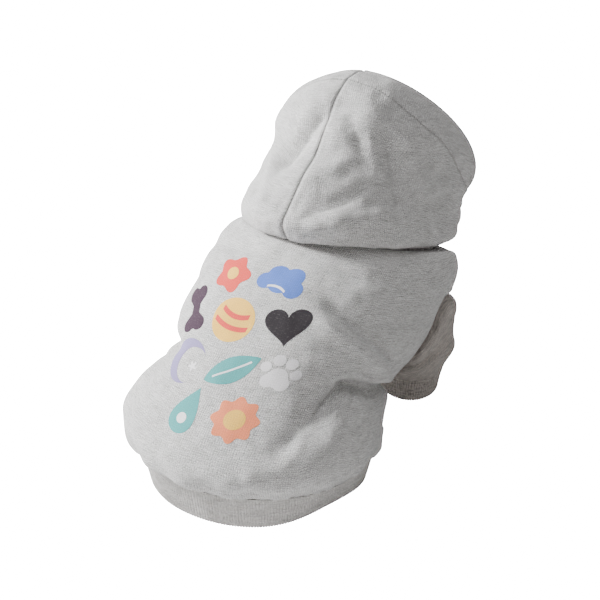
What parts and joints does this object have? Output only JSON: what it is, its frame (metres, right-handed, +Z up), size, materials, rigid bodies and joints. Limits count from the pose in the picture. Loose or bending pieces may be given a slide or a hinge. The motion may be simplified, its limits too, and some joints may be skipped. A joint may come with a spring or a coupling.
{
  "type": "dog hoodie",
  "caption": "Small-dog fleece hoodie in its worn form: hood up, short front sleeves with rib cuffs, and a rib waistband round the haunches.",
  "frame": {"origin": "on the withers, in the back cloth just behind the neck seam, where the garment sits on the dog", "axes": "+Z up, +Y the way the dog faces, +X the dog's right side"},
  "size_m": [0.1793, 0.3051, 0.2638],
  "materials": {
    "marl_jersey": "light grey marl fleece jersey, matt",
    "marl_rib": "light grey marl rib knit, matt",
    "thread": "grey sewing thread",
    "print_ink": "thin printed film in flat colours, satin"
  },
  "bodies": {
    "root": {"back_panel": "marl_jersey", "belly_panel": "marl_jersey", "hood_right": "marl_jersey", "hood_left": "marl_jersey", "sleeve_right": "marl_jersey", "sleeve_left": "marl_jersey", "cuff_right": "marl_rib", "cuff_left": "marl_rib", "waistband": "marl_rib"}
  },
  "joints": []
}
